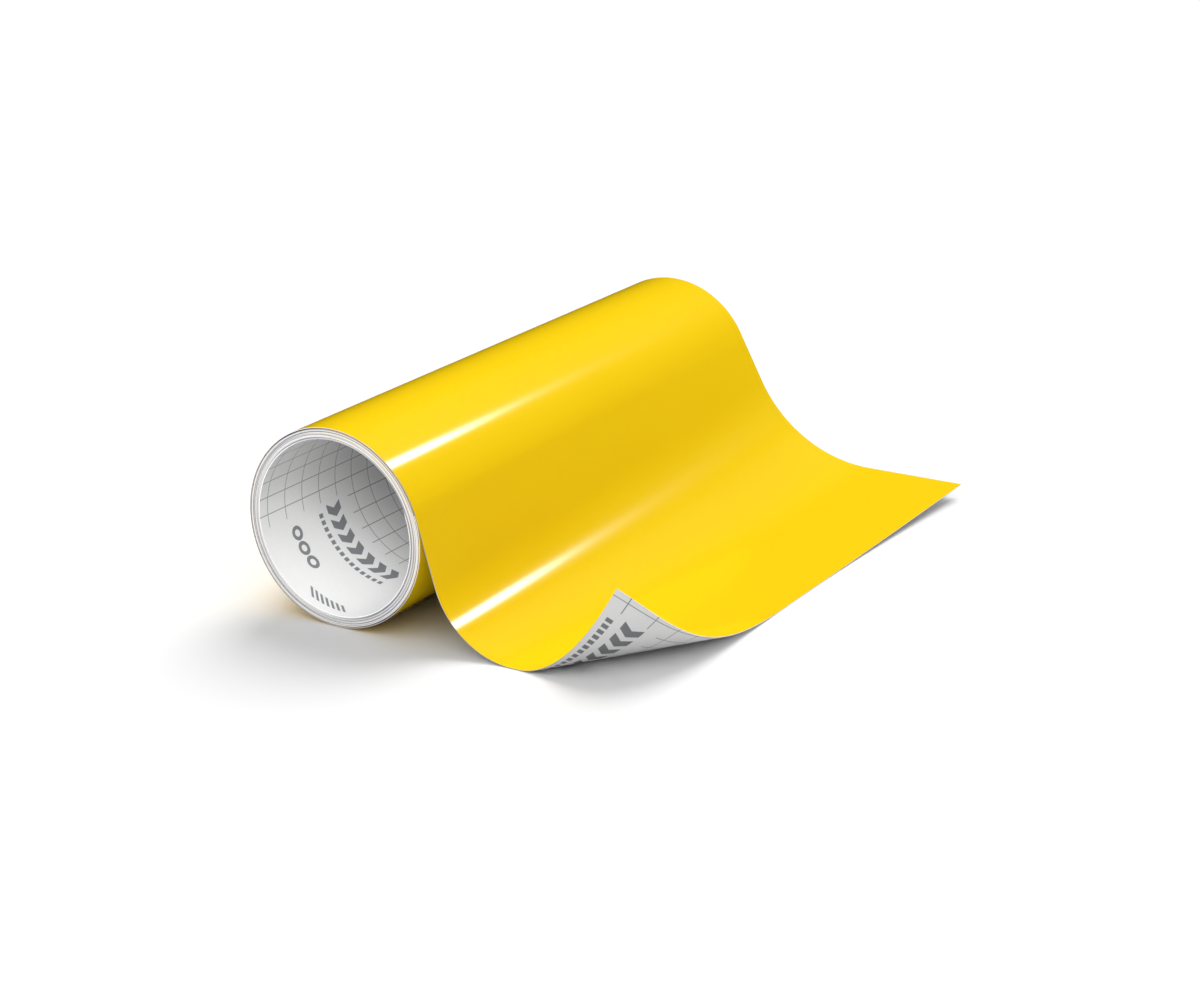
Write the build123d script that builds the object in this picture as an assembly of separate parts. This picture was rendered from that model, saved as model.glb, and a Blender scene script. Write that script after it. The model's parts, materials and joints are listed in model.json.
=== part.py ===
from build123d import *
import math
import os

# Roll of sign vinyl: a coreless roll of three-layer laminate with its free end drawn out flat.
# Origin at the middle of the roll's open centre, +Y along the roll, +X to the free end, +Z up.
# Millimetres throughout.

# the laminate, from its face to its back
FILM = 0.10
ADHESIVE = 0.07
LINER = 0.18
SHEET = FILM + ADHESIVE + LINER
LAYERS = {
    "film": (0.0, FILM),
    "adhesive": (FILM, FILM + ADHESIVE),
    "liner": (FILM + ADHESIVE, SHEET),
}

# the roll
WIDTH = 305.0            # a 12 inch roll
ROLL_RADIUS = 46.7       # outside of the outermost turn
AIR = 0.02               # air between touching turns
PITCH = SHEET + AIR      # radius gained by one turn
LEAVE = 20.0             # degrees above level where the sheet leaves the roll
SPIN_CLEARANCE = 0.10    # smallest gap between the outermost turn and the turns inside it
SLIP_GAP = 0.15          # gap between two groups of turns that can slide past each other
COIL_TURNS = {"outer": 3, "mid": 3, "inner": 3, "core": 2}

# the free end
STRAIGHT = 31.7          # straight length below the roll
END_X = 161.8            # free edge of the sheet
HINGE_LEVEL = 8.8        # slope in degrees where the lying sheet starts to lift
HINGE_GAP = 0.30         # gap between two parts of the sheet that turn on each other

# the near corner that curls up, and the far corner where the film peels
FOLD_X = 103.0           # fold line on the near side edge
FOLD_Y = 119.0           # fold line on the end edge, from the near side edge
CURL_RADIUS = 27.0
CURL_SECTIONS = 12
PEEL_LEG = 45.0          # both short sides of the peeling triangle

NEAR = -WIDTH / 2
FAR = WIDTH / 2
FLOOR = -(ROLL_RADIUS - PITCH / 2 + PITCH / 4 * math.sin(math.radians(LEAVE)))
FLAT_TOP = FLOOR + SHEET


def ray(degrees):
    """Unit vector in the XZ plane, from +X towards +Z."""
    a = math.radians(degrees)
    return Vector(math.cos(a), 0, math.sin(a))


def at_near(v):
    return Vector(v.X, NEAR, v.Z)


def arc(centre, radius, start, end):
    """Arc in the plane of the near end, angles in degrees."""
    points = [at_near(centre + ray(a) * radius) for a in (start, (start + end) / 2, end)]
    return Edge.make_three_point_arc(*points)


def close(outer, inner):
    """Ribbon profile between two chains of edges that run the same way."""
    first = Edge.make_line(outer[0] @ 0, inner[0] @ 0)
    last = Edge.make_line(outer[-1] @ 1, inner[-1] @ 1)
    return Face(Wire([*outer, last, *inner, first]))


def full_width(profile):
    return extrude(profile, amount=WIDTH, dir=(0, 1, 0))


def spiral(radius, turns, depth):
    """Half circles whose radius drops by half a pitch each, centres left and right in turn."""
    edges = []
    for k in range(2 * turns):
        side = 1 if k % 2 == 0 else -1
        centre = ray(LEAVE) * (side * PITCH / 4)
        start = LEAVE + 180 * k
        edges.append(arc(centre, radius - k * PITCH / 2 - depth, start, start + 180))
    return edges


def wound(radius, turns, layer):
    top, bottom = LAYERS[layer]
    return full_width(close(spiral(radius, turns, top), spiral(radius, turns, bottom)))


# where the sheet leaves the roll, the straight below it and the bend onto the floor
NORMAL = ray(LEAVE)
LEAVE_POINT = NORMAL * (ROLL_RADIUS + PITCH / 4)
DOWN = ray(LEAVE - 90)
STRAIGHT_END = LEAVE_POINT + DOWN * STRAIGHT
BEND_RADIUS = (STRAIGHT_END.Z - FLAT_TOP) / (1 - math.sin(math.radians(LEAVE)))
BEND_CENTRE = STRAIGHT_END + NORMAL * BEND_RADIUS
FOOT_X = BEND_CENTRE.X
HALF_GAP = math.degrees(HINGE_GAP / 2 / BEND_RADIUS)


def drape(layer):
    """The straight and most of the bend."""
    chains = []
    for depth in LAYERS[layer]:
        start = at_near(LEAVE_POINT - NORMAL * depth)
        end = at_near(STRAIGHT_END - NORMAL * depth)
        bend = arc(BEND_CENTRE, BEND_RADIUS + depth, 180 + LEAVE, 270 - HINGE_LEVEL - HALF_GAP)
        chains.append([Edge.make_line(start, end), bend])
    return full_width(close(*chains))


def lying(layer):
    """The last of the bend and the flat, full width."""
    chains = []
    for depth in LAYERS[layer]:
        bend = arc(BEND_CENTRE, BEND_RADIUS + depth, 270 - HINGE_LEVEL + HALF_GAP, 270)
        start = Vector(FOOT_X, NEAR, FLAT_TOP - depth)
        end = Vector(END_X, NEAR, FLAT_TOP - depth)
        chains.append([bend, Edge.make_line(start, end)])
    return full_width(close(*chains))


def corner_prism(points):
    """Tall block over a corner of the flat, to cut it with."""
    loop = [Vector(x, y, FLAT_TOP - 5) for x, y in points]
    return extrude(Face(Wire.make_polygon(loop, close=True)), amount=10, dir=(0, 0, 1))


# the fold line of the near corner, as a point, a direction along it and one towards the corner
FOLD_A = Vector(FOLD_X, NEAR, 0)
FOLD_B = Vector(END_X, NEAR + FOLD_Y, 0)
ALONG = (FOLD_B - FOLD_A).normalized()
ACROSS = Vector(ALONG.Y, -ALONG.X, 0)
CORNER = Vector(END_X, NEAR, 0)
CORNER_DEPTH = (CORNER - FOLD_A).dot(ACROSS)
CORNER_ALONG = (CORNER - FOLD_A).dot(ALONG)
FOLD_LENGTH = (FOLD_B - FOLD_A).length


def near_cut():
    shift = ACROSS * (-HINGE_GAP / 2)
    ends = [FOLD_A - ALONG * 20 + shift, FOLD_B + ALONG * 20 + shift]
    out = ACROSS * (CORNER_DEPTH + 20)
    return corner_prism([(p.X, p.Y) for p in (*ends, ends[1] + out, ends[0] + out)])


def far_cut(offset):
    """Block over the far corner, its long side moved away from the corner by the offset."""
    leg = PEEL_LEG + offset * math.sqrt(2) + 20
    x, y = END_X + 20, FAR + 20
    return corner_prism([(x, y), (x - leg - 20, y), (x, y - leg - 20)])


def curl_section(distance, top, bottom):
    """Cut through one layer of the curled corner, parallel to the fold line."""
    turn = distance / CURL_RADIUS
    share = distance / CORNER_DEPTH
    first = CORNER_ALONG * share
    last = FOLD_LENGTH - (FOLD_LENGTH - CORNER_ALONG) * share
    outward = ACROSS * math.sin(turn) - Vector(0, 0, 1) * math.cos(turn)
    axis = FOLD_A + Vector(0, 0, FLAT_TOP + CURL_RADIUS)
    corners = []
    for along, depth in ((first, top), (last, top), (last, bottom), (first, bottom)):
        corners.append(axis + ALONG * along + outward * (CURL_RADIUS + depth))
    return Face(Wire.make_polygon(corners, close=True))


def curl(layer):
    start = HINGE_GAP / 2
    end = CORNER_DEPTH - 0.8
    step = (end - start) / (CURL_SECTIONS - 1)
    top, bottom = LAYERS[layer]
    cuts = [curl_section(start + step * k, top, bottom) for k in range(CURL_SECTIONS)]
    solids = [loft([a, b], ruled=True) for a, b in zip(cuts, cuts[1:])]
    return Solid(solids[0].fuse(*solids[1:]).solid().wrapped)


def build_roll():
    nodes = {}
    radius = ROLL_RADIUS - SHEET - PITCH - SPIN_CLEARANCE
    for layer in LAYERS:
        nodes["wrap_" + layer] = wound(ROLL_RADIUS, 1, layer)
    for name, turns in COIL_TURNS.items():
        for layer in LAYERS:
            nodes[name + "_turns_" + layer] = wound(radius, turns, layer)
        radius -= turns * PITCH + SLIP_GAP
    return nodes


def build_free_end():
    nodes = {}
    for layer in LAYERS:
        nodes["drape_" + layer] = drape(layer)
        flat = lying(layer) - near_cut()
        if layer == "liner":
            nodes["tail_liner"] = flat
        else:
            nodes["tail_" + layer] = flat - far_cut(HINGE_GAP / 2)
            nodes["peel_" + layer] = flat & far_cut(-HINGE_GAP / 2)
        nodes["curl_" + layer] = curl(layer)
    return nodes


os.makedirs("parts", exist_ok=True)
for name, shape in {**build_roll(), **build_free_end()}.items():
    shape = shape if isinstance(shape, Solid) else shape.solid()
    print(f"{name:24s} volume {shape.volume:10.1f} mm3  {len(shape.faces()):3d} faces")
    export_step(shape, f"parts/{name}.step")
print(f"floor {FLOOR:.3f}  bend radius {BEND_RADIUS:.2f}  foot {FOOT_X:.2f}")
print(f"fold direction {ALONG.X:.4f} {ALONG.Y:.4f}  corner depth {CORNER_DEPTH:.2f}")
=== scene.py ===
# %% [markdown]
# # A roll of sign vinyl
# Sign vinyl is a sandwich of three sheets: a glossy coloured PVC film, a thin coat of clear adhesive
# and a paper liner that keeps the adhesive clean until the film is used. Short rolls are wound on
# nothing but themselves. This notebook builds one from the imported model's frame: the wound turns,
# the outermost turn with the free end drawn out over a table, a corner that curls up and shows the
# printed back of the liner, and a corner where the film can be peeled from the liner.

import json
import math

import bpy
import numpy as np
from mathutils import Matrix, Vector

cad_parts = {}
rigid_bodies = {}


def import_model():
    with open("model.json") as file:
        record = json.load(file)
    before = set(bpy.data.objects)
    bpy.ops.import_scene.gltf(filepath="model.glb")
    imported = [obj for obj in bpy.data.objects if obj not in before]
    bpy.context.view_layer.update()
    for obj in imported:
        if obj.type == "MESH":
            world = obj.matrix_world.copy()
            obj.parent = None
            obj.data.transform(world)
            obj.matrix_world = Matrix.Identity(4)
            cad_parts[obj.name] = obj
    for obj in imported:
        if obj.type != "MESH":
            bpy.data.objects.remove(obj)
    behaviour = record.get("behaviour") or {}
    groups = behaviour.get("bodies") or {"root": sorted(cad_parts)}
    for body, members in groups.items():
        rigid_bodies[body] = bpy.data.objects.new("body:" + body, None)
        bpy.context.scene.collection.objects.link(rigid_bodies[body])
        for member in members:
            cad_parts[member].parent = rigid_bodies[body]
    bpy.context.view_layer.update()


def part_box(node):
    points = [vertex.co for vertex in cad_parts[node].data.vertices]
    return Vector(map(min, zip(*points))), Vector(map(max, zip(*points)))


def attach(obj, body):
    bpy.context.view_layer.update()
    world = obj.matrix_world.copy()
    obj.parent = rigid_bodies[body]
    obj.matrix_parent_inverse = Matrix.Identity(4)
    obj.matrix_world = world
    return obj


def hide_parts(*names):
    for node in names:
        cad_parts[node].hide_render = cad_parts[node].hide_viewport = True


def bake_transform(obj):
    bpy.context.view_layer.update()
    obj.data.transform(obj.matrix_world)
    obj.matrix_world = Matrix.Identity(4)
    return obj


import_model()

# %% [markdown]
# ## Sizes
# Everything is worked out in millimetres, the unit the trade uses, and turned to metres where a
# mesh is made. The roll is 12 inches wide. The three layers lie on each other from the face down,
# and one turn of laminate adds one pitch to the radius: the laminate and a little air.

# %% Sizes of the laminate and of the roll
MM = 0.001
WIDTH = 305.0
NEAR, FAR = -WIDTH / 2, WIDTH / 2
FILM, ADHESIVE, LINER = 0.10, 0.07, 0.18
SHEET = FILM + ADHESIVE + LINER
AIR = 0.02
PITCH = SHEET + AIR
DEPTHS = {
    "film": (0.0, FILM),
    "adhesive": (FILM, FILM + ADHESIVE),
    "liner": (FILM + ADHESIVE, SHEET),
}
ROLL = 46.7                  # radius to the face of the outermost turn
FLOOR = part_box("wrap_film")[0].z / MM
print(f"laminate {SHEET:.2f} mm, floor at {FLOOR:.3f} mm")

# %% [markdown]
# ## Helpers for materials and node trees
# Colours are written the way a paint program shows them, as sRGB hex, and turned to the linear
# values that the renderer works in. `put` adds one node with its settings and its links. A noise
# texture counts its grains per metre, so `grains` turns a real size in millimetres to its scale.

# %% Colour and node helpers


def colour(code, alpha=1.0):
    """An sRGB hex colour as linear RGBA."""
    parts = [int(code[i:i + 2], 16) / 255 for i in (1, 3, 5)]
    return [p / 12.92 if p <= 0.04045 else ((p + 0.055) / 1.055) ** 2.4 for p in parts] + [alpha]


def put(tree, kind, feeds=None, **settings):
    """Adds a node; feeds maps an input's name or number to a socket or a value."""
    node = tree.nodes.new(kind)
    for name, value in settings.items():
        setattr(node, name, value)
    for key, value in (feeds or {}).items():
        if isinstance(value, bpy.types.NodeSocket):
            tree.links.new(value, node.inputs[key])
        else:
            node.inputs[key].default_value = value
    return node


def grains(size):
    """The noise scale that gives grains of this size in millimetres."""
    return 1 / (size * MM)


def blank_material(name):
    """A material with only a Principled shader and its output."""
    material = bpy.data.materials.new(name)
    material.use_nodes = True
    tree = material.node_tree
    tree.nodes.clear()
    shader = put(tree, "ShaderNodeBsdfPrincipled")
    put(tree, "ShaderNodeOutputMaterial", {"Surface": shader.outputs[0]})
    return material, tree, shader


# %% [markdown]
# ## The cut ends of the turns
# A knife leaves a rough pale edge on all three layers. From turn to turn the edges stand a little in
# or out, and the fine dark lines of shade this gives are painted: the edges of some turns are painted
# grey, so the end of a roll shows as fine rings. Each material mixes its face colour with that edge
# colour where a face is marked `cut`. The rings could be drawn as a round pattern, but then they would
# stay behind when the turns slip. Here the painted shade wanders along the sheet's own length, so it
# changes from one turn to the next and moves with the sheet.

# %% Edge colour shared by the three materials, with painted shade on some turns
# The second edge colour is painted shade: a grey that stands in for the shade between the turns.
EDGE_PALE, EDGE_PAINTED_SHADE = "#f4f4f5", "#9a9ba5"
TURN_LENGTH = 270.0          # length of a middling turn, in millimetres
CHANGES = 1.3                # changes of shade in a turn
EDGE_ROUGHNESS = 0.7


def with_cut_edge(tree, shader, face_colour, face_roughness):
    """Feeds the shader the face's look, or the cut edge's where the face is marked cut; the edges of some
    turns get painted shade.
    """
    marked = put(tree, "ShaderNodeAttribute", attribute_name="cut").outputs["Fac"]
    place = put(tree, "ShaderNodeUVMap", uv_map="sheet").outputs["UV"]
    length = put(tree, "ShaderNodeSeparateXYZ", {"Vector": place}).outputs["X"]
    turns = put(tree, "ShaderNodeMath", {0: length, 1: CHANGES / TURN_LENGTH}, operation="MULTIPLY")
    wander = put(tree, "ShaderNodeTexNoise", {"W": turns.outputs[0], "Scale": 1.0, "Detail": 2.0},
                 noise_dimensions="1D")
    # Painted shade: where the noise is high, a turn's cut edge is painted grey in place of the shade
    # between turns.
    painted_shade = put(tree, "ShaderNodeMapRange", {"Value": wander.outputs["Fac"], "From Min": 0.48,
                                            "From Max": 0.60})
    edge_with_painted_shade = put(tree, "ShaderNodeMix", {"Factor": painted_shade.outputs["Result"], "A": colour(EDGE_PALE),
                                        "B": colour(EDGE_PAINTED_SHADE)}, data_type="RGBA")
    shown = put(tree, "ShaderNodeMix", {"Factor": marked, "A": face_colour,
                                        "B": edge_with_painted_shade.outputs["Result"]}, data_type="RGBA")
    tree.links.new(shown.outputs["Result"], shader.inputs["Base Color"])
    rough = put(tree, "ShaderNodeMapRange", {"Value": marked, "To Min": face_roughness,
                                             "To Max": EDGE_ROUGHNESS})
    tree.links.new(rough.outputs["Result"], shader.inputs["Roughness"])


# %% [markdown]
# ## Film: calendered PVC, high gloss
# Calendered film is squeezed between polished rollers. That gives a flat saturated colour and a
# clear, slightly soft reflection, with a faint ripple, the orange peel. A clear coat over a matt
# base would also look glossy, but the film is one plastic, so one low roughness and the index of
# PVC are enough. The ripple is real but very fine, and is drawn at 2 mm so that it shows at all.

# %% Film material
CLOUD, RIPPLE = 71.0, 2.0    # size of the faint clouds in the colour, and of the ripple
PVC_INDEX = 1.53
film, tree, shader = blank_material("calendered PVC film, gloss yellow")
place_in = put(tree, "ShaderNodeTexCoord").outputs["Object"]
cloud = put(tree, "ShaderNodeTexNoise", {"Vector": place_in, "Scale": grains(CLOUD), "Detail": 2.0})
tint = put(tree, "ShaderNodeMix", {"Factor": cloud.outputs["Fac"], "A": colour("#f7ce10"),
                                   "B": colour("#f9d114")}, data_type="RGBA")
with_cut_edge(tree, shader, tint.outputs["Result"], 0.14)
ripple = put(tree, "ShaderNodeTexNoise", {"Vector": place_in, "Scale": grains(RIPPLE), "Detail": 2.0})
bump = put(tree, "ShaderNodeBump", {"Height": ripple.outputs["Fac"], "Strength": 0.05,
                                    "Distance": 0.05 * MM})
tree.links.new(bump.outputs["Normal"], shader.inputs["Normal"])
shader.inputs["IOR"].default_value = PVC_INDEX
print("film", film.name)

# %% [markdown]
# ## Adhesive: clear acrylic
# The adhesive stays on the film when it is peeled. It is clear, so what the eye sees is the film's
# pale back through it, with a wet-looking but uneven surface. A transmissive shader could show the
# film through it, but the coat is 0.07 mm thin and never seen on its own, so it is painted in the
# colour that the two have together. Its coating lines and specks are drawn at 4.5 mm.

# %% Adhesive material
MOTTLE = 4.5
ACRYLIC_INDEX = 1.47
adhesive, tree, shader = blank_material("clear acrylic adhesive")
place_in = put(tree, "ShaderNodeTexCoord").outputs["Object"]
mottle = put(tree, "ShaderNodeTexNoise", {"Vector": place_in, "Scale": grains(MOTTLE), "Detail": 3.0})
coat = put(tree, "ShaderNodeMix", {"Factor": mottle.outputs["Fac"], "A": colour("#dcc774"),
                                   "B": colour("#e6d48c")}, data_type="RGBA")
with_cut_edge(tree, shader, coat.outputs["Result"], 0.32)
bump = put(tree, "ShaderNodeBump", {"Height": mottle.outputs["Fac"], "Strength": 0.15,
                                    "Distance": 0.1 * MM})
tree.links.new(bump.outputs["Normal"], shader.inputs["Normal"])
shader.inputs["IOR"].default_value = ACRYLIC_INDEX
print("adhesive", adhesive.name)

# %% [markdown]
# ## Liner: silicone-coated paper with a printed back
# The liner's back is printed in grey: a grid of half-inch columns for cutting by eye, left blank in
# places for marks. The marks here are plain shapes: a row of chevrons, a row of dashes, three rings
# and a hatched bar. An image could hold the print, but sums on the map draw it sharp at any size.
# The print follows the sheet, so it reads the piece's UV map, which holds real millimetres: U from
# the free edge, V from the near edge. The print repeats in blocks. WRAP folds a length into one
# repeat, and COMPARE is 1 within a given distance of a value.

# %% Liner material: the grid and its blank window
COLUMN, ROW = 12.7, 25.4 / 3
BLOCK_U, BLOCK_V = 18 * ROW, 12 * COLUMN
LINE = 0.45                  # width of a printed line
GRID_PHASE = 5.7             # the first column line, from the near edge
WINDOW_U, WINDOW_V = (43.0, 37.0), (32.0, 32.0)    # middle and half size of the blank window
liner, tree, shader = blank_material("silicone-coated release paper, printed back")
back = put(tree, "ShaderNodeAttribute", attribute_name="back").outputs["Fac"]
uv = put(tree, "ShaderNodeUVMap", uv_map="sheet").outputs["UV"]
split = put(tree, "ShaderNodeSeparateXYZ", {"Vector": uv}).outputs
grid_lines = []
for axis, pitch, phase in (("X", ROW, 0.0), ("Y", COLUMN, GRID_PHASE)):
    local = put(tree, "ShaderNodeMath", {0: split[axis], 1: phase + pitch / 2, 2: phase - pitch / 2},
                operation="WRAP")
    grid_lines.append(put(tree, "ShaderNodeMath", {0: local.outputs[0], 1: phase, 2: LINE / 2},
                          operation="COMPARE").outputs[0])
grid = put(tree, "ShaderNodeMath", dict(enumerate(grid_lines)), operation="MAXIMUM")
bu = put(tree, "ShaderNodeMath", {0: split["X"], 1: BLOCK_U}, operation="FLOORED_MODULO").outputs[0]
bv = put(tree, "ShaderNodeMath", {0: split["Y"], 1: BLOCK_V}, operation="FLOORED_MODULO").outputs[0]
blank_u = put(tree, "ShaderNodeMath", {0: bu, 1: WINDOW_U[0], 2: WINDOW_U[1]}, operation="COMPARE")
blank_v = put(tree, "ShaderNodeMath", {0: bv, 1: WINDOW_V[0], 2: WINDOW_V[1]}, operation="COMPARE")
blank = put(tree, "ShaderNodeMath", {0: blank_u.outputs[0], 1: blank_v.outputs[0]}, operation="MULTIPLY")
clear = put(tree, "ShaderNodeMath", {0: 1.0, 1: blank.outputs[0]}, operation="SUBTRACT")
ruled = put(tree, "ShaderNodeMath", {0: grid.outputs[0], 1: clear.outputs[0]}, operation="MULTIPLY")

# %% Liner material: the rows of marks
# start along, how many, repeat, inked part, middle across, half height, pivot across, slant
MARKS = (
    (10.6, 7, 7.3, 4.3, 52.0, 5.0, 52.0, 0.55),    # chevrons: the slant turns back at the pivot
    (10.6, 14, 3.4, 2.1, 41.8, 1.4, 0.0, 0.0),     # dashes
    (49.0, 7, 3.0, 1.6, 7.7, 2.7, 0.0, 1.0),       # hatched bar
)
ink = put(tree, "ShaderNodeValue").outputs[0]
ink.default_value = 0.0
for start, count, repeat, inked, middle, half, pivot, slant in MARKS:
    off = put(tree, "ShaderNodeMath", {0: bv, 1: pivot}, operation="SUBTRACT")
    off = put(tree, "ShaderNodeMath", {0: off.outputs[0]}, operation="ABSOLUTE")
    sheared = put(tree, "ShaderNodeMath", {0: off.outputs[0], 1: slant, 2: bu}, operation="MULTIPLY_ADD")
    local = put(tree, "ShaderNodeMath", {0: sheared.outputs[0], 1: start + repeat, 2: start},
                operation="WRAP")
    shape = put(tree, "ShaderNodeMath", {0: local.outputs[0], 1: start + inked}, operation="LESS_THAN")
    row_u = put(tree, "ShaderNodeMath", {0: sheared.outputs[0], 1: start + count * repeat / 2,
                                         2: count * repeat / 2}, operation="COMPARE")
    row_v = put(tree, "ShaderNodeMath", {0: bv, 1: middle, 2: half}, operation="COMPARE")
    row = put(tree, "ShaderNodeMath", {0: row_u.outputs[0], 1: row_v.outputs[0]}, operation="MULTIPLY")
    marks = put(tree, "ShaderNodeMath", {0: row.outputs[0], 1: shape.outputs[0]}, operation="MULTIPLY")
    ink = put(tree, "ShaderNodeMath", {0: ink, 1: marks.outputs[0]}, operation="MAXIMUM").outputs[0]

# %% Liner material: the three rings
RING_START, RING_REPEAT, RING_ACROSS = 10.2, 7.6, 22.5
RING_RADIUS, RING_HALF_STROKE, RINGS = 2.6, 0.9, 3
ring_u = put(tree, "ShaderNodeMath", {0: bu, 1: RING_START + RING_REPEAT, 2: RING_START}, operation="WRAP")
from_middle = put(tree, "ShaderNodeCombineXYZ", {"X": ring_u.outputs[0], "Y": bv})
distance = put(tree, "ShaderNodeVectorMath", {0: from_middle.outputs[0],
               1: (RING_START + RING_REPEAT / 2, RING_ACROSS, 0)}, operation="DISTANCE").outputs["Value"]
stroke = put(tree, "ShaderNodeMath", {0: distance, 1: RING_RADIUS, 2: RING_HALF_STROKE},
             operation="COMPARE")
half_row = RINGS * RING_REPEAT / 2
row = put(tree, "ShaderNodeMath", {0: bu, 1: RING_START + half_row, 2: half_row}, operation="COMPARE")
rings = put(tree, "ShaderNodeMath", {0: stroke.outputs[0], 1: row.outputs[0]}, operation="MULTIPLY")
ink = put(tree, "ShaderNodeMath", {0: ink, 1: rings.outputs[0]}, operation="MAXIMUM")

# %% Liner material: paper, print and edge
FIBRE = 1.1                  # paper fibres, drawn a little coarse so that they show
PAPER_INDEX = 1.47
place_in = put(tree, "ShaderNodeTexCoord").outputs["Object"]
fibre = put(tree, "ShaderNodeTexNoise", {"Vector": place_in, "Scale": grains(FIBRE), "Detail": 4.0})
paper = put(tree, "ShaderNodeMix", {"Factor": fibre.outputs["Fac"], "A": colour("#d9d9d9"),
                                    "B": colour("#e1e1e0")}, data_type="RGBA").outputs["Result"]
for mask, print_colour in ((ruled, "#929497"), (ink, "#7b7d80")):
    on_back = put(tree, "ShaderNodeMath", {0: mask.outputs[0], 1: back}, operation="MULTIPLY")
    paper = put(tree, "ShaderNodeMix", {"Factor": on_back.outputs[0], "A": paper,
                                        "B": colour(print_colour)}, data_type="RGBA").outputs["Result"]
with_cut_edge(tree, shader, paper, 0.55)
bump = put(tree, "ShaderNodeBump", {"Height": fibre.outputs["Fac"], "Strength": 0.1,
                                    "Distance": 0.05 * MM})
tree.links.new(bump.outputs["Normal"], shader.inputs["Normal"])
shader.inputs["IOR"].default_value = PAPER_INDEX
MATERIALS = {"film": film, "adhesive": adhesive, "liner": liner}
print("materials", [m.name for m in MATERIALS.values()])

# %% [markdown]
# ## The wound turns: one rule, twelve pieces
# A wound sheet is a spiral swept with a flat rectangle, so a Geometry Nodes tree makes it: a spiral
# curve, a thin rectangle the width of the roll swept along it, a small sideways drift from turn to
# turn as every hand-wound roll has, and the marks for the print. A stack of plain tubes would be
# quicker, but its ends would show closed circles in place of one running edge. The same tree makes
# all three layers of the four groups of turns; only its inputs change.

# %% The tree for one wound layer
wound = bpy.data.node_groups.new("wound layer", "GeometryNodeTree")
for name, kind in (("Radius", "Float"), ("Turns", "Float"), ("Pitch", "Float"), ("Thickness", "Float"),
                   ("Width", "Float"), ("Leave Angle", "Float"), ("Drift", "Float"),
                   ("Print Start", "Float"), ("Points Per Turn", "Int"), ("Seed", "Int"),
                   ("Material", "Material")):
    wound.interface.new_socket(name, in_out="INPUT", socket_type=f"NodeSocket{kind}")
wound.interface.new_socket("Geometry", in_out="OUTPUT", socket_type="NodeSocketGeometry")
given = put(wound, "NodeGroupInput").outputs
half_thick = put(wound, "ShaderNodeMath", {0: given["Thickness"], 1: -0.5, 2: given["Radius"]},
                 operation="MULTIPLY_ADD").outputs[0]
wound_in = put(wound, "ShaderNodeMath", {0: given["Turns"], 1: given["Pitch"]}, operation="MULTIPLY")
stop = put(wound, "ShaderNodeMath", {0: half_thick, 1: wound_in.outputs[0]}, operation="SUBTRACT")
spiral = put(wound, "GeometryNodeCurveSpiral", {"Resolution": given["Points Per Turn"],
             "Rotations": given["Turns"], "Start Radius": half_thick, "End Radius": stop.outputs[0],
             "Height": 0.0, "Reverse": True})
level = put(wound, "GeometryNodeSetCurveNormal", {"Curve": spiral.outputs[0]}, mode="Z_UP")
along = put(wound, "GeometryNodeSplineParameter")
run = put(wound, "GeometryNodeStoreNamedAttribute", {"Geometry": level.outputs[0], "Name": "run",
          "Value": along.outputs["Length"]}, data_type="FLOAT", domain="POINT")
blade = put(wound, "GeometryNodeCurvePrimitiveQuadrilateral", {"Width": given["Thickness"],
            "Height": given["Width"]})
strip = put(wound, "GeometryNodeCurveToMesh", {"Curve": run.outputs[0], "Profile Curve": blade.outputs[0],
            "Fill Caps": True})

# %% The drift from turn to turn, and the turn into place
WANDER = 9.0                 # changes of the drift in a metre of sheet
length = put(wound, "GeometryNodeInputNamedAttribute", {"Name": "run"}, data_type="FLOAT").outputs[0]
moment = put(wound, "ShaderNodeMath", {0: length, 1: WANDER, 2: given["Seed"]}, operation="MULTIPLY_ADD")
wander = put(wound, "ShaderNodeTexNoise", {"W": moment.outputs[0], "Scale": 1.0, "Detail": 1.0},
             noise_dimensions="1D")
reach = put(wound, "ShaderNodeMath", {0: given["Drift"], 1: -1.0}, operation="MULTIPLY")
slip = put(wound, "ShaderNodeMapRange", {"Value": wander.outputs[0], "To Min": reach.outputs[0],
           "To Max": given["Drift"]})
slipped = put(wound, "GeometryNodeSetPosition", {"Geometry": strip.outputs[0],
              "Offset": put(wound, "ShaderNodeCombineXYZ", {"Z": slip.outputs[0]}).outputs[0]})
turned = put(wound, "GeometryNodeTransform", {"Geometry": slipped.outputs[0],
             "Rotation": put(wound, "ShaderNodeCombineXYZ", {"Z": given["Leave Angle"]}).outputs[0]})
stood = put(wound, "GeometryNodeTransform", {"Geometry": turned.outputs[0],
            "Rotation": (math.pi / 2, 0, 0)})

# %% The print's map and the marks on faces
where = put(wound, "GeometryNodeInputPosition").outputs[0]
across = put(wound, "ShaderNodeSeparateXYZ", {"Vector": where}).outputs["Y"]
print_u = put(wound, "ShaderNodeMath", {0: length, 1: 1 / MM, 2: given["Print Start"]},
              operation="MULTIPLY_ADD")
print_v = put(wound, "ShaderNodeMath", {0: across, 1: 1 / MM, 2: WIDTH / 2}, operation="MULTIPLY_ADD")
mapped = put(wound, "GeometryNodeStoreNamedAttribute", {"Geometry": stood.outputs[0], "Name": "sheet",
             "Value": put(wound, "ShaderNodeCombineXYZ", {"X": print_u.outputs[0],
                                                          "Y": print_v.outputs[0]}).outputs[0]},
             data_type="FLOAT2", domain="CORNER")
flat_place = put(wound, "ShaderNodeVectorMath", {0: where, 1: (1, 0, 1)}, operation="MULTIPLY").outputs[0]
radial = put(wound, "ShaderNodeVectorMath", {0: flat_place}, operation="NORMALIZE").outputs[0]
facing = put(wound, "ShaderNodeVectorMath", {0: put(wound, "GeometryNodeInputNormal").outputs[0],
             1: radial}, operation="DOT_PRODUCT").outputs["Value"]
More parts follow.
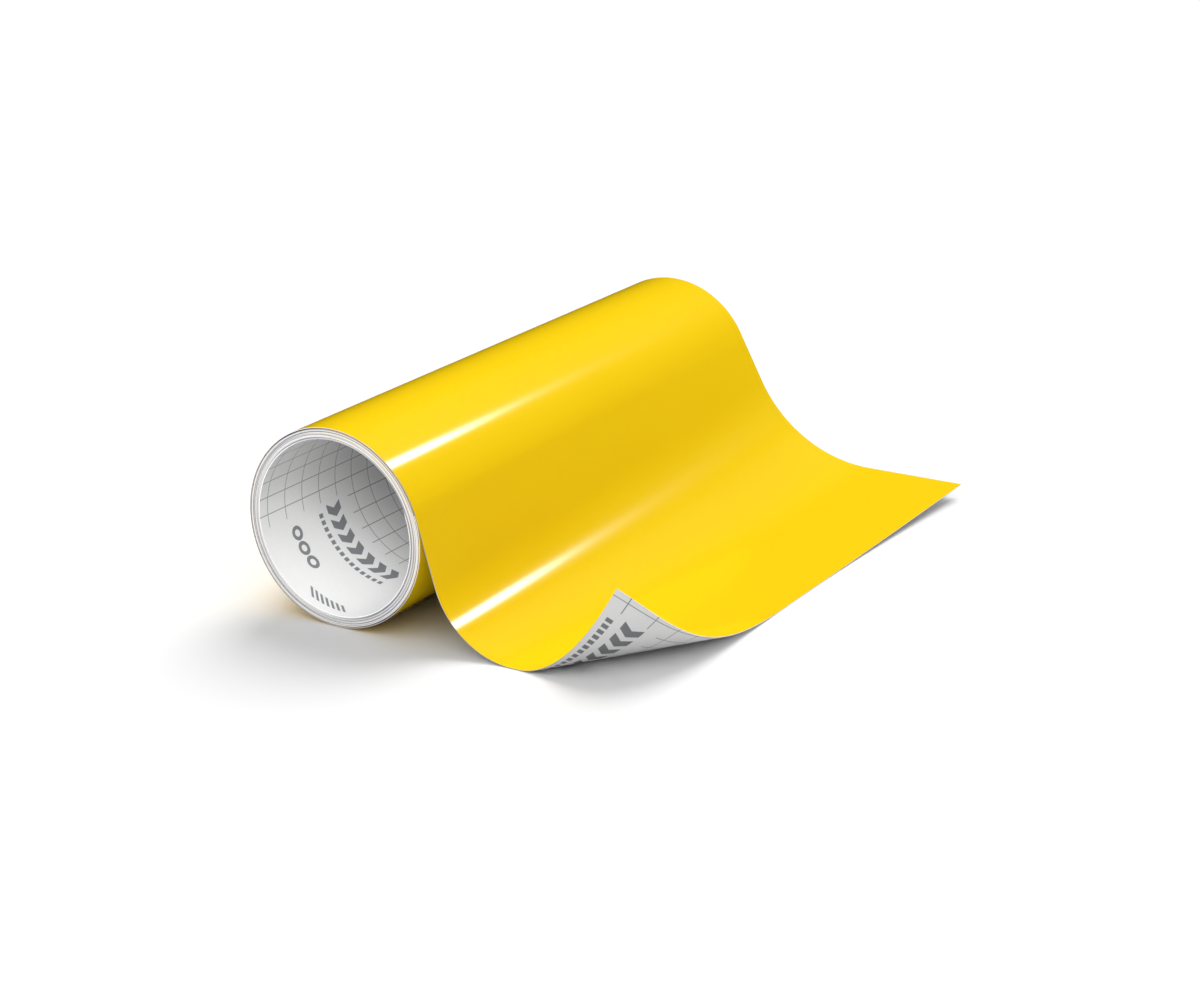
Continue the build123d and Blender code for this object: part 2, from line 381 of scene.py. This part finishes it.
level_face = put(wound, "ShaderNodeMath", {0: facing, 1: 0.0, 2: 0.5}, operation="COMPARE").outputs[0]
inward = put(wound, "ShaderNodeMath", {0: facing, 1: -0.5}, operation="LESS_THAN").outputs[0]
cut_faces = put(wound, "GeometryNodeStoreNamedAttribute", {"Geometry": mapped.outputs[0], "Name": "cut",
                "Value": level_face}, data_type="FLOAT", domain="FACE")
back_faces = put(wound, "GeometryNodeStoreNamedAttribute", {"Geometry": cut_faces.outputs[0],
                 "Name": "back", "Value": inward}, data_type="FLOAT", domain="FACE")
real = put(wound, "GeometryNodeRealizeInstances", {0: back_faces.outputs[0]})
dressed = put(wound, "GeometryNodeSetMaterial", {"Geometry": real.outputs[0],
              "Material": given["Material"]})
put(wound, "NodeGroupOutput", {"Geometry": dressed.outputs[0]})
IDS = {s.name: s.identifier for s in wound.interface.items_tree if s.in_out == "INPUT"}
print("wound layer tree:", len(wound.nodes), "nodes")

# %% Finishing helpers: sharp borders, and a plain mesh with no modifier


def finish_mesh(mesh):
    """Smooth faces with sharp borders."""
    mesh.polygons.foreach_set("use_smooth", [True] * len(mesh.polygons))
    mesh.set_sharp_from_angle(angle=math.radians(40))
    mesh.update()


def wind(name, material, **inputs):
    """Runs the tree once and keeps the result as a plain mesh."""
    seed_mesh = bpy.data.objects.new(name + "_source", bpy.data.meshes.new(name + "_source"))
    bpy.context.scene.collection.objects.link(seed_mesh)
    modifier = seed_mesh.modifiers.new("wind", "NODES")
    modifier.node_group = wound
    for key, value in {**inputs, "Material": material}.items():
        modifier[IDS[key.replace("_", " ")]] = value
    bpy.context.view_layer.update()
    made = bpy.data.meshes.new_from_object(seed_mesh.evaluated_get(bpy.context.evaluated_depsgraph_get()))
    bpy.data.objects.remove(seed_mesh)
    piece = bpy.data.objects.new(name, made)
    bpy.context.scene.collection.objects.link(piece)
    finish_mesh(made)
    return piece


# %% Wind the four groups of turns
GROUPS = (("outer_turns", 3), ("mid_turns", 3), ("inner_turns", 3), ("core_turns", 2))
WRAP_GAP, SLIP_GAP = 0.10, 0.15    # air inside the outermost turn, and between the groups
LEAVE_CAD = 20.0             # where the spirals start, in degrees
# How far along the sheet each group's print starts; the last one shows in the open centre.
PRINT_START = {"outer_turns": 310.0, "mid_turns": 1180.0, "inner_turns": 2020.0, "core_turns": 77.3}
radius = ROLL - SHEET - PITCH - WRAP_GAP
for number, (group, turns) in enumerate(GROUPS):
    for layer, (top, bottom) in DEPTHS.items():
        piece = wind(f"{group}_{layer}_sheet", MATERIALS[layer], Radius=(radius - top) * MM,
                     Turns=float(turns), Pitch=PITCH * MM, Thickness=(bottom - top) * MM,
                     Width=WIDTH * MM, Leave_Angle=math.radians(LEAVE_CAD), Drift=0.25 * MM,
                     Print_Start=PRINT_START[group], Points_Per_Turn=120, Seed=3 + 7 * number)
        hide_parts(f"{group}_{layer}")
        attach(piece, group)
    print(f"{group}: {turns} turns from radius {radius:.2f} mm")
    radius -= turns * PITCH + SLIP_GAP

# %% [markdown]
# ## The outer turn and the free end: one map for the whole sheet
# The outermost turn, the drop to the table, the flat and the curled corner are one sheet, so one
# function says where any point of it lies: given its distance from the free edge and its place
# across the width. The sheet drops from the roll straight and then bends on to the table. It leaves
# the roll higher at the far end than at the near end, and its far edge lies a few millimetres off
# the table. A cloth simulation could drape it, but would give another shape for each setting. Every
# layer and every piece comes from this one map, so their borders meet and the print runs on.

# %% The map from the flat sheet to its place
LENGTH_FROM_TOP = 210.8      # from the top line of the roll to the free edge
LEAVE_NEAR, LEAVE_FAR = 17.0, 28.5       # where the sheet leaves the roll, degrees above level
STRAIGHT_NEAR, STRAIGHT_FAR = 32.4, 27.3
FAR_LIFT = 6.6               # how far the far edge lies off the table
TIP_RISE = 0.3               # how much more the far corner stands off the table
TRIM_NEAR, TRIM_FAR, TRIM_BOW = -3.4, 3.5, 3.5     # the free end, cut by hand and not quite square
TAIL_EDGE = 57.8             # the flat end's length


def profile(y):
    """Leave angle, straight, bend radius and flat height at each place across the sheet."""
    share = (y - NEAR) / WIDTH
    leave = np.radians(LEAVE_NEAR + (LEAVE_FAR - LEAVE_NEAR) * share)
    straight = STRAIGHT_NEAR + (STRAIGHT_FAR - STRAIGHT_NEAR) * share
    low = FLOOR + SHEET + FAR_LIFT * np.clip(y / FAR, 0, 1) ** 2
    bend = (ROLL * np.sin(leave) - straight * np.cos(leave) - low) / (1 - np.sin(leave))
    return leave, straight, bend, low


TIP = 161.9                  # the free edge near the curl, from the roll's axis
FOLD_NEAR = np.array([97.6, NEAR])
FOLD_END = np.array([TIP, -24.5])
CURL_RADIUS, CURL_TAPER, TIGHTEST = 54.1, 1.36, 4.0


def curl(from_edge, y):
    """How far the curled corner moves each point from the flat: a cone rolled past the fold line."""
    along = FOLD_END - FOLD_NEAR
    size = np.hypot(*along)
    along = along / size
    across = np.array([along[1], -along[0]])
    dx, dy = TIP - from_edge - FOLD_NEAR[0], y - FOLD_NEAR[1]
    run = dx * along[0] + dy * along[1]
    beyond = np.maximum(dx * across[0] + dy * across[1], 0)
    radius = np.maximum(CURL_RADIUS * (1 + CURL_TAPER * (run / size - 0.5)), TIGHTEST)
    turn = beyond / radius
    shift = radius * np.sin(turn) - beyond
    return np.stack([shift * across[0], shift * across[1], radius * (1 - np.cos(turn))], -1)


def face(from_edge, y):
    """A point of the film's face: on the roll, on the straight drop, in the bend or on the flat."""
    leave, straight, bend, low = profile(y)
    t = LENGTH_FROM_TOP - from_edge
    on_roll = ROLL * (math.pi / 2 - leave)
    on_bend = bend * (math.pi / 2 - leave)
    angle = math.pi / 2 - t / ROLL
    radius = ROLL - PITCH * (angle - leave) / (2 * math.pi)
    out_x, out_z = np.cos(leave), np.sin(leave)
    down = t - on_roll
    drop_x, drop_z = ROLL * out_x + down * out_z, ROLL * out_z - down * out_x
    foot_x, foot_z = ROLL * out_x + straight * out_z, ROLL * out_z - straight * out_x
    hub_x, hub_z = foot_x + bend * out_x, foot_z + bend * out_z
    around = leave + (down - straight) / bend
    bend_x, bend_z = hub_x - bend * np.cos(around), hub_z - bend * np.sin(around)
    flat = down - straight - on_bend
    where = [down < 0, down < straight, flat < 0]
    x = np.select(where, [radius * np.cos(angle), drop_x, bend_x], hub_x + flat)
    z = np.select(where, [radius * np.sin(angle), drop_z, bend_z], low)
    z = z + TIP_RISE * np.clip(y / FAR, 0, 1) * np.clip(1 - from_edge / TAIL_EDGE, 0, 1) ** 1.5
    return np.stack([x, y, z], -1) + curl(from_edge, y)


def sheet_point(from_edge, y, depth):
    """A point below the face, measured square to the sheet."""
    step = 0.05
    du = face(from_edge - step, y) - face(from_edge + step, y)
    dv = face(from_edge, y + step) - face(from_edge, y - step)
    normal = np.cross(du, dv)
    normal /= np.linalg.norm(normal, axis=-1, keepdims=True)
    return face(from_edge, y) - normal * np.asarray(depth)[..., None]


for name, y in (("near", NEAR), ("far", FAR)):
    tip = face(np.array(0.0), np.array(y))
    print(name, "corner at", np.round(tip, 1))

# %% [markdown]
# ## Cutting pieces out of the sheet
# A piece is a patch of the flat sheet: rows at chosen distances from the free edge, each running
# between two ends across the width. Face and back grids and a border strip close it into a thin
# solid with the layer's real thickness. A Solidify modifier would do that too, but it would not
# mark the cut edge and the printed back, which the materials read.

# %% One closed piece from a patch
PRINT_SHIFT = 3 * COLUMN     # the blocks of print stand three columns over at this end


def patch(name, layer, rows, low, high, columns):
    """A closed thin piece between the lines low(d) and high(d), with one row at each distance d.
    Returns the piece, its flat length and width in metres, and its flat area."""
    top, bottom = DEPTHS[layer]
    d = np.repeat(np.array(rows, float)[:, None], columns + 1, 1)
    share = np.linspace(0, 1, columns + 1)[None, :]
    y = low(d) + (high(d) - low(d)) * share
    place = (y - NEAR) / WIDTH
    trim = TRIM_NEAR + (TRIM_FAR - TRIM_NEAR) * place + 4 * TRIM_BOW * place * (1 - place)
    d = d + trim * np.clip(1 - d / TAIL_EDGE, 0, 1)
    upper, under = sheet_point(d, y, np.full_like(d, top)), sheet_point(d, y, np.full_like(d, bottom))
    points = np.concatenate([upper.reshape(-1, 3), under.reshape(-1, 3)]) * MM
    n, m = d.shape
    i, j = np.meshgrid(np.arange(n - 1), np.arange(m - 1), indexing="ij")
    a = (i * m + j).ravel()
    quad = np.stack([a, a + m, a + m + 1, a + 1], 1)
    ring = np.concatenate([np.arange(m - 1), np.arange(n - 1) * m + m - 1,
                           (n - 1) * m + np.arange(m - 1, 0, -1), np.arange(n - 1, 0, -1) * m])
    after = np.roll(ring, -1)
    border = np.stack([ring, after, after + n * m, ring + n * m], 1)
    faces = np.concatenate([quad, quad[:, ::-1] + n * m, border])
    mesh = bpy.data.meshes.new(name)
    mesh.from_pydata(points.tolist(), [], faces.tolist())
    flat = np.concatenate([np.stack([d, y - NEAR + PRINT_SHIFT], -1).reshape(-1, 2)] * 2)
    sheet_map = mesh.uv_layers.new(name="sheet")
    sheet_map.data.foreach_set("uv", flat[faces.ravel()].ravel())
    side = np.repeat([0, 1, 2], [len(quad), len(quad), len(border)])    # face, back, cut edge
    for mark, number in (("back", 1), ("cut", 2)):
        values = (side == number).astype(float)
        mesh.attributes.new(mark, "FLOAT", "FACE").data.foreach_set("value", values)
    mesh.materials.append(MATERIALS[layer])
    finish_mesh(mesh)
    piece = bpy.data.objects.new(name, mesh)
    bpy.context.scene.collection.objects.link(piece)
    along, wide = np.diff(d, axis=0)[:, :-1], np.diff(y, axis=1)[:-1]
    lean, slant = np.diff(d, axis=1)[:-1], np.diff(y, axis=0)[:, :-1]
    area = abs(np.sum(along * wide - lean * slant))
    return piece, (np.ptp(y) * MM, np.ptp(d) * MM), area * MM * MM


# %% [markdown]
# ## The pieces of the free end
# The sheet is cut where a joint needs it: the roll side runs to just past the line where the lying
# end lifts, the flat end reaches to the fold line of the near corner, and the film has one more cut
# across the far corner, where it peels. One mesh with weights could bend at every joint, but a
# piece can follow only the two bodies of one joint, so each joint has its own piece. The cuts at
# the corners lie along the joints' axes, so the cut edge stays in place when the joint moves.

# %% The lines where the sheet is cut
# Where the axis of each corner's joint meets the long edge and the free edge, along the sheet.
FOLD_CUT = (58.8, 119.0)
PEEL_CUT = (56.5, 49.2)
# The outermost turn starts 2 degrees short of where the sheet leaves it.
SEAM = LENGTH_FROM_TOP + ROLL * math.radians(LEAVE_CAD + 360 - 90 - 2.0)
DRAPE_TOP = 156.0            # where the drop to the table parts from the outermost turn


def near_line(d):
    return np.full_like(d, NEAR)


def far_line(d):
    return np.full_like(d, FAR)


def fold_line(d):
    return NEAR + FOLD_CUT[1] * (1 - d / FOLD_CUT[0])


def peel_line(d):
    return np.minimum(FAR, FAR - PEEL_CUT[1] * (1 - d / PEEL_CUT[0]))


# %% Lay the pieces
turn_rows = np.linspace(SEAM, DRAPE_TOP, 150)
drape_rows = np.linspace(DRAPE_TOP, TAIL_EDGE, 90)
flat_rows = np.concatenate([np.linspace(TAIL_EDGE, PEEL_CUT[0], 3)[:-1], np.linspace(PEEL_CUT[0], 0, 37)])
peel_rows = np.linspace(PEEL_CUT[0] - 0.3, 0, 48)    # the first row needs some width


def lay(group, node, layer, rows, low, high, columns):
    """One patch of the sheet, in place of its CAD part; prints its flat size and area."""
    piece, flat, area = patch(f"{group}_{layer}_sheet", layer, rows, low, high, columns)
    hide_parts(f"{node}_{layer}")
    print(f"{piece.name}: {flat[0] / MM:.1f} x {flat[1] / MM:.1f} mm flat, {area * 1e4:.1f} cm2")
    return piece


for layer in DEPTHS:
    piece = lay("outer_turn", "wrap", layer, turn_rows, near_line, far_line, 60)
    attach(piece, "outer_wrap")
    piece = lay("drape", "drape", layer, drape_rows, near_line, far_line, 60)
    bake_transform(piece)
    inner_end = far_line if layer == "liner" else peel_line
    piece = lay("tail", "tail", layer, flat_rows, fold_line, inner_end, 60)
    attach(piece, "tail")
    piece = lay("curl", "curl", layer, flat_rows, near_line, fold_line, 60)
    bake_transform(piece)
    if layer != "liner":
        piece = lay("peel", "peel", layer, peel_rows, peel_line, far_line, 40)
        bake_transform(piece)
print("pieces of the free end made")

# %% [markdown]
# ## Table
# The roll lies on a matt white table. It is one large square, a hair below the sheet so that the two
# surfaces don't meet in one plane. It doesn't show in reflections, because its glow would outline
# the roll where the film is seen at a grazing angle.

# %% Table
TABLE_HALF = 12.0
HAIR = 0.03
floor_mesh = bpy.data.meshes.new("table_top")
corners = [(-1, -1), (1, -1), (1, 1), (-1, 1)]
height = (FLOOR - HAIR) * MM
floor_mesh.from_pydata([(x * TABLE_HALF, y * TABLE_HALF, height) for x, y in corners], [], [(0, 1, 2, 3)])
table = bpy.data.objects.new("table_top", floor_mesh)
bpy.context.scene.collection.objects.link(table)
white, tree, shader = blank_material("matt white table")
shader.inputs["Base Color"].default_value = colour("#f9f9f9")
shader.inputs["Roughness"].default_value = 0.9
shader.inputs["Specular IOR Level"].default_value = 0.0
floor_mesh.materials.append(white)
table.visible_glossy = False

# %% [markdown]
# ## Lights
# Product light is large and soft. A dome from overhead and a wide key from behind make the soft
# shadows in front of the roll, and a fill from the front keeps them light. Three fills reach only
# chosen pieces, through light linking: the whole sheet, the ring of cut edges, and the open centre.
# The sharp streaks of gloss come from two small round lamps far off, one for the roll and one for
# the bend. They are seen only in reflection, so they can be moved without a change to the shadows.

# %% Helpers for lights


def aim(obj, towards):
    """Turns a lamp or the camera to look along a direction."""
    obj.rotation_euler = Vector(towards).to_track_quat("-Z", "Y").to_euler()


def sun(name, direction, strength, spread):
    """Light from a direction, softened over an angle in degrees."""
    lamp = bpy.data.lights.new(name, "SUN")
    lamp.energy, lamp.angle = strength, math.radians(spread)
    obj = bpy.data.objects.new(name, lamp)
    bpy.context.scene.collection.objects.link(obj)
    aim(obj, -Vector(direction))
    obj.visible_glossy = False
    return obj


def only_on(obj, names):
    """The light reaches only the named pieces."""
    group = bpy.data.collections.new(obj.name + "_reach")
    for name in names:
        group.objects.link(bpy.data.objects[name])
    obj.light_linking.receiver_collection = group


def gloss_lamp(name, spot, towards, distance, radius, power):
    """A small round lamp that shows only as a reflection near the given spot."""
    lamp = bpy.data.lights.new(name, "AREA")
    lamp.shape, lamp.size, lamp.energy = "DISK", 2 * radius, power
    obj = bpy.data.objects.new(name, lamp)
    bpy.context.scene.collection.objects.link(obj)
    out = Vector(towards).normalized()
    obj.location = Vector(spot) + out * distance
    aim(obj, -out)
    obj.visible_diffuse = False
    return obj


# %% Lights
world = bpy.data.worlds.new("studio")
bpy.context.scene.world = world
world.use_nodes = True
world.node_tree.nodes["Background"].inputs["Color"].default_value = (1, 1, 1, 1)
world.node_tree.nodes["Background"].inputs["Strength"].default_value = 0.18
world.cycles_visibility.glossy = False
FRONT = (0.1, -0.7, 0.85)
sheets = [o.name for o in bpy.data.objects if o.name.endswith("_sheet")]
centre = "core_turns_liner_sheet"
ring = [name for name in sheets if "turn" in name and name != centre]
free_end = [f"{group}_film_sheet" for group in ("drape", "tail", "curl", "peel")]
sun("overhead_dome", (0, 0, 1), 1.0, 140)
sun("soft_key", (-0.05, 0.62, 0.85), 1.9, 45)
sun("front_fill", FRONT, 0.6, 60)
only_on(sun("front_fill_roll", FRONT, 0.6, 60), sheets)
only_on(sun("end_fill", (0.15, -0.95, 0.25), 0.45, 20), ring)
only_on(sun("open_centre_fill", (0.38, -0.72, 0.58), 2.9, 35), [centre])
only_on(gloss_lamp("gloss_lamp_roll", (0.0315, -0.160, 0.0344), (0.248, 0.767, 0.592), 2.2, 0.105, 3.6),
        ["outer_turn_film_sheet"])
only_on(gloss_lamp("gloss_lamp_bend", (0.0630, -0.158, -0.0314), (0.462, 0.716, 0.526), 2.2, 0.115, 4.0),
        free_end)
print("lights set:", len(bpy.data.lights))

# %% [markdown]
# ## Camera
# The camera stands at the near end, above the table, and looks along the roll with a long lens, so
# that the roll narrows only a little towards its far end.

# %% Camera
lens = bpy.data.cameras.new("camera")
lens.lens, lens.sensor_width, lens.sensor_fit = 75.86, 36.0, "HORIZONTAL"
lens.clip_start, lens.clip_end = 0.05, 50
camera = bpy.data.objects.new("camera", lens)
bpy.context.scene.collection.objects.link(camera)
camera.location = (0.64083, -0.99131, 0.38483)
aim(camera, (-0.4852, 0.8083, -0.3336))
bpy.context.scene.camera = camera
bpy.context.scene.view_settings.view_transform = "Standard"
bpy.context.scene.view_settings.look = "None"
